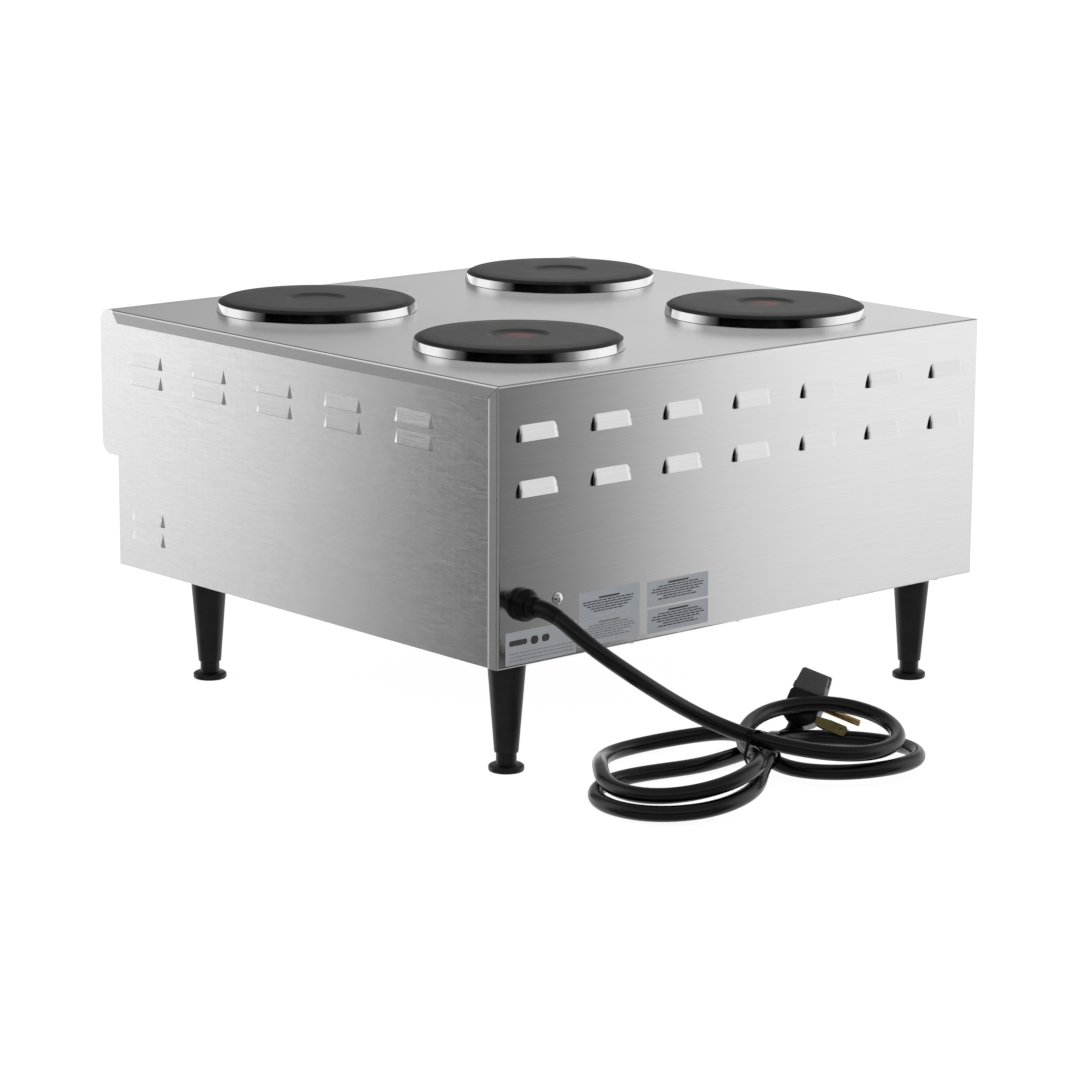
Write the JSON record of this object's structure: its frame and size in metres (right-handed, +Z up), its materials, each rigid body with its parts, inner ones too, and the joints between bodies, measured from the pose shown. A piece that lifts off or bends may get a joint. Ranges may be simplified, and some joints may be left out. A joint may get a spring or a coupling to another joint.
{
  "type": "countertop electric hot plate",
  "caption": "Countertop electric hot plate with round cast-iron plates in a louvred stainless casing, front knobs, adjustable legs and a rear mains cord with plug.",
  "frame": {"origin": "on the floor under the middle of the unit, measured without the mains cord, gland and plug", "axes": "+Z up, -Y towards the user at the knobs, +Y out of the back panel"},
  "size_m": [0.6106, 0.8377, 0.3662],
  "materials": {
    "casing_steel": "brushed stainless sheet with a fine level grain",
    "inner_sheet": "plain coated sheet and bright hardware",
    "cast_iron": "satin dark grey, seasoned",
    "ring_steel": "polished stainless",
    "ceramic": "unglazed",
    "leg_plastic": "black, low sheen",
    "phenolic": "dark brown moulded",
    "knob_plastic": "black, low sheen",
    "lamp_lens": "clear red",
    "gland_plastic": "black",
    "cord_rubber": "black jacket with a soft sheen",
    "plug_rubber": "dark grey moulded",
    "brass": "plain"
  },
  "bodies": {
    "casing": {"deck_and_back": "casing_steel", "side_panel_right": "casing_steel", "side_panel_left": "casing_steel", "control_panel": "casing_steel", "lower_front_panel": "casing_steel", "base_pan": "inner_sheet", "heat_shield": "inner_sheet", "plate_rear_right": "cast_iron", "spill_ring_rear_right": "ring_steel", "clamp_bar_rear_right": "inner_sheet", "plate_terminal_rear_right": "ceramic", "leg_rear_right": "leg_plastic", "plate_rear_left": "cast_iron", "spill_ring_rear_left": "ring_steel", "clamp_bar_rear_left": "inner_sheet", "plate_terminal_rear_left": "ceramic", "leg_rear_left": "leg_plastic", "plate_front_right": "cast_iron", "spill_ring_front_right": "ring_steel", "clamp_bar_front_right": "inner_sheet", "plate_terminal_front_right": "ceramic", "leg_front_right": "leg_plastic", "plate_front_left": "cast_iron", "spill_ring_front_left": "ring_steel", "clamp_bar_front_left": "inner_sheet", "plate_terminal_front_left": "ceramic", "leg_front_left": "leg_plastic", "heat_switch_1": "phenolic", "lamp_1": "lamp_lens", "heat_switch_2": "phenolic", "lamp_2": "lamp_lens", "heat_switch_3": "phenolic", "lamp_3": "lamp_lens", "heat_switch_4": "phenolic", "lamp_4": "lamp_lens", "gland_body": "gland_plastic", "gland_nut": "gland_plastic", "earth_screw": "ring_steel", "mains_terminal": "ceramic", "strain_relief": "cord_rubber", "power_cord": "cord_rubber", "plug_body": "plug_rubber", "plug_blade_left": "brass", "plug_blade_right": "brass", "plug_earth_pin": "brass"},
    "knob_1": {"knob_1": "knob_plastic", "switch_shaft_1": "inner_sheet"},
    "knob_2": {"knob_2": "knob_plastic", "switch_shaft_2": "inner_sheet"},
    "knob_3": {"knob_3": "knob_plastic", "switch_shaft_3": "inner_sheet"},
    "knob_4": {"knob_4": "knob_plastic", "switch_shaft_4": "inner_sheet"},
    "foot_rear_right": {"foot_rear_right": "leg_plastic"},
    "foot_rear_left": {"foot_rear_left": "leg_plastic"},
    "foot_front_right": {"foot_front_right": "leg_plastic"},
    "foot_front_left": {"foot_front_left": "leg_plastic"}
  },
  "joints": [
    {"name": "knob_1_turn", "type": "hinge", "parent": "casing", "child": "knob_1", "pos_m": [-0.225, -0.285, 0.272], "axis": [0, 1, 0], "range_deg": [0, 270]},
    {"name": "knob_2_turn", "type": "hinge", "parent": "casing", "child": "knob_2", "pos_m": [-0.075, -0.285, 0.272], "axis": [0, 1, 0], "range_deg": [0, 270]},
    {"name": "knob_3_turn", "type": "hinge", "parent": "casing", "child": "knob_3", "pos_m": [0.075, -0.285, 0.272], "axis": [0, 1, 0], "range_deg": [0, 270]},
    {"name": "knob_4_turn", "type": "hinge", "parent": "casing", "child": "knob_4", "pos_m": [0.225, -0.285, 0.272], "axis": [0, 1, 0], "range_deg": [0, 270]},
    {"name": "foot_rear_right_height", "type": "slide", "parent": "casing", "child": "foot_rear_right", "axis": [0, 0, -1], "range_m": [0, 0.019]},
    {"name": "foot_rear_left_height", "type": "slide", "parent": "casing", "child": "foot_rear_left", "axis": [0, 0, -1], "range_m": [0, 0.019]},
    {"name": "foot_front_right_height", "type": "slide", "parent": "casing", "child": "foot_front_right", "axis": [0, 0, -1], "range_m": [0, 0.019]},
    {"name": "foot_front_left_height", "type": "slide", "parent": "casing", "child": "foot_front_left", "axis": [0, 0, -1], "range_m": [0, 0.019]}
  ]
}
